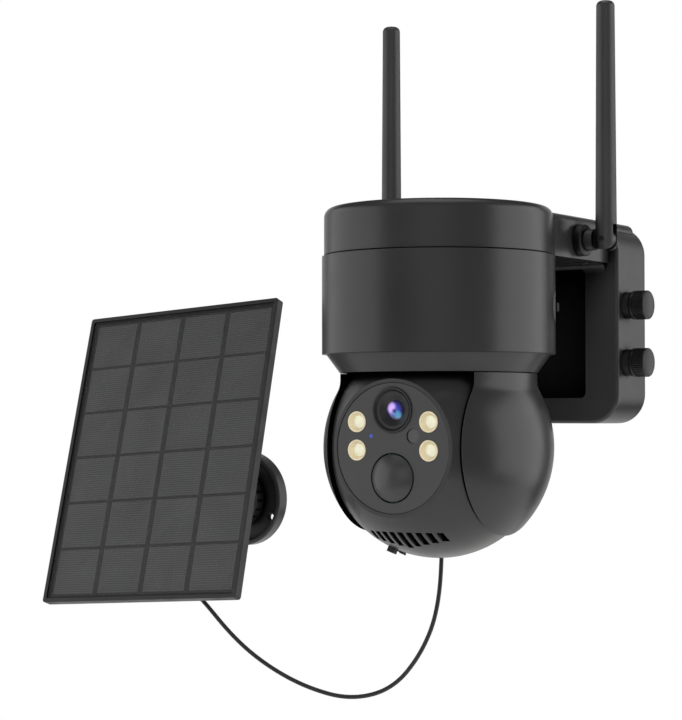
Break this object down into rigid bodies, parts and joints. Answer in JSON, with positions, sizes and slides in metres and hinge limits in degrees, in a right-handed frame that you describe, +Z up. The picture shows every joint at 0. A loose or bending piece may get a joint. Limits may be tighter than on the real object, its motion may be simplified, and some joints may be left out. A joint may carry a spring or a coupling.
{
  "type": "solar security camera",
  "caption": "Wall-mounted outdoor camera with a turning, tilting round eye, folding antennas and a solar panel on a ball mount, joined by a cable.",
  "frame": {"origin": "centre of the bracket's four wall screws, on the wall plane", "axes": "+Z up, +Y into the wall, so the camera looks along -Y, and +X to the right as seen from the front"},
  "size_m": [0.3349, 0.174, 0.3475],
  "materials": {
    "housing_plastic": "satin charcoal moulding",
    "housing_trim": "fine-grained charcoal moulding",
    "rubber_black": "matt black rubber",
    "antenna_plastic": "satin black moulding",
    "face_plastic": "satin dark grey window plate",
    "lens_black": "black anodised lens mount",
    "lens_glass": "coated lens glass",
    "lamp_cup": "cream reflector",
    "lamp_lens": "pale yellow lens",
    "motion_lens": "smoked dome",
    "status_blue": "blue light pipe",
    "window_smoke": "smoked window",
    "metal_steel": "bright steel",
    "metal_dark": "black coated steel",
    "board_green": "circuit board",
    "battery_wrap": "shrink-wrapped cells",
    "gear_white": "natural acetal",
    "panel_rim": "satin black rim",
    "panel_glass": "clear cover sheet",
    "cell_silicon": "dark silicon with fine fingers",
    "panel_back": "black back sheet",
    "cable_black": "black cable jacket"
  },
  "bodies": {
    "housing": {"bracket_cap": "housing_plastic", "arm_cover": "housing_plastic", "drum_shell": "housing_plastic", "lower_collar": "housing_plastic", "drum_seal": "rubber_black", "pan_deck": "housing_trim", "pan_motor": "metal_steel", "battery_tray": "housing_trim", "battery_cells": "battery_wrap", "main_board": "board_green", "entry_collars": "housing_trim", "antenna_bases": "housing_trim", "power_socket": "housing_trim", "cable_plug": "rubber_black", "solar_cable": "cable_black", "wall_base": "housing_plastic"},
    "service_cover": {"service_cover": "rubber_black"},
    "entry_upper": {"entry_plug_upper": "housing_trim"},
    "entry_lower": {"entry_plug_lower": "housing_trim"},
    "knuckle_left": {"antenna_knuckle_left": "antenna_plastic"},
    "knuckle_right": {"antenna_knuckle_right": "antenna_plastic"},
    "antenna_left": {"antenna_left": "antenna_plastic", "elbow_pin_left": "metal_dark"},
    "antenna_right": {"antenna_right": "antenna_plastic", "elbow_pin_right": "metal_dark"},
    "pinion": {"pan_pinion": "gear_white"},
    "yoke": {"yoke_hub": "housing_trim", "pan_gear": "gear_white", "yoke_cheek_left": "housing_plastic", "yoke_cheek_right": "housing_plastic", "cheek_plates": "housing_trim", "tilt_motor": "metal_steel"},
    "eye": {"eye_front_shell": "housing_plastic", "eye_rear_shell": "housing_plastic", "tilt_shaft": "metal_steel", "tilt_bush": "gear_white", "face_plate": "face_plastic", "lens_ring": "lens_black", "lens_barrel": "lens_black", "lens_glass": "lens_glass", "lamp_cups": "lamp_cup", "lamp_lenses": "lamp_lens", "motion_lens": "motion_lens", "light_window": "window_smoke", "status_lamp": "status_blue", "light_board": "board_green", "camera_board": "board_green", "speaker": "metal_dark"},
    "card_cover": {"card_cover": "rubber_black"},
    "reset": {"reset_button": "housing_trim"},
    "clamp": {"clamp_collar": "housing_trim"},
    "liner": {"ball_liner": "gear_white"},
    "stem": {"ball_stem": "metal_dark", "lock_nut": "metal_dark"},
    "panel": {"panel_frame": "panel_rim", "panel_glass": "panel_glass", "solar_cells": "cell_silicon", "panel_back": "panel_back", "junction_box": "panel_back", "cable_gland": "rubber_black"}
  },
  "joints": [
    {"name": "head_pan", "type": "hinge", "parent": "housing", "child": "yoke", "pos_m": [0, -0.1185, 0], "axis": [0, 0, 1], "range_deg": [-175, 175]},
    {"name": "pinion_spin", "type": "hinge", "parent": "housing", "child": "pinion", "pos_m": [0.039, -0.1185, 0], "axis": [0, 0, 1], "range_deg": [-480, 480]},
    {"name": "head_tilt", "type": "hinge", "parent": "yoke", "child": "eye", "pos_m": [0, -0.1185, -0.0612], "axis": [1, 0, 0], "range_deg": [-10, 90]},
    {"name": "card_cover_hinge", "type": "hinge", "parent": "eye", "child": "card_cover", "pos_m": [-0.01691, -0.12368, -0.11194], "axis": [0.9487, 0, -0.3162], "range_deg": [0, 80]},
    {"name": "reset_press", "type": "slide", "parent": "eye", "child": "reset", "axis": [0.3084, 0.2216, 0.9251], "range_m": [0, 0.0006], "stiffness_N_per_m": 300, "springref_m": -0.0004},
    {"name": "service_cover_hinge", "type": "hinge", "parent": "housing", "child": "service_cover", "pos_m": [0.04814, -0.0882, 0.0054], "axis": [0, 0, 1], "range_deg": [0, 100]},
    {"name": "entry_upper_turn", "type": "hinge", "parent": "housing", "child": "entry_upper", "pos_m": [0.052, -0.0214, 0.009], "axis": [1, 0, 0], "continuous": true},
    {"name": "entry_lower_turn", "type": "hinge", "parent": "housing", "child": "entry_lower", "pos_m": [0.052, -0.0214, -0.0197], "axis": [1, 0, 0], "continuous": true},
    {"name": "antenna_left_swivel", "type": "hinge", "parent": "housing", "child": "knuckle_left", "pos_m": [-0.0612, -0.0629, 0.039], "axis": [1, 0, 0], "range_deg": [-25, 90]},
    {"name": "antenna_left_fold", "type": "hinge", "parent": "knuckle_left", "child": "antenna_left", "pos_m": [-0.0612, -0.0629, 0.039], "axis": [0, -1, 0], "range_deg": [0, 90]},
    {"name": "antenna_right_swivel", "type": "hinge", "parent": "housing", "child": "knuckle_right", "pos_m": [0.0612, -0.0629, 0.039], "axis": [1, 0, 0], "range_deg": [-25, 90]},
    {"name": "antenna_right_fold", "type": "hinge", "parent": "knuckle_right", "child": "antenna_right", "pos_m": [0.0612, -0.0629, 0.039], "axis": [0, 1, 0], "range_deg": [0, 90]},
    {"name": "clamp_turn", "type": "hinge", "parent": "housing", "child": "clamp", "pos_m": [-0.198, -0.012, -0.0937], "axis": [0, 1, 0], "continuous": true},
    {"name": "panel_tilt", "type": "hinge", "parent": "housing", "child": "liner", "pos_m": [-0.198, -0.0125, -0.0937], "axis": [1, 0, 0], "range_deg": [-10, 35], "deforming": ["solar_cable"]},
    {"name": "panel_pan", "type": "hinge", "parent": "liner", "child": "stem", "pos_m": [-0.198, -0.0125, -0.0937], "axis": [-0.0715, 0.3297, 0.9414], "range_deg": [-20, 20], "deforming": ["solar_cable"]},
    {"name": "panel_spin", "type": "hinge", "parent": "stem", "child": "panel", "pos_m": [-0.198, -0.0125, -0.0937], "axis": [0, -0.9438, 0.3305], "range_deg": [-20, 20], "deforming": ["solar_cable"]}
  ],
  "couplings": [
    {"joint": "pinion_spin", "follows": "head_pan", "ratio": -2.7143}
  ]
}
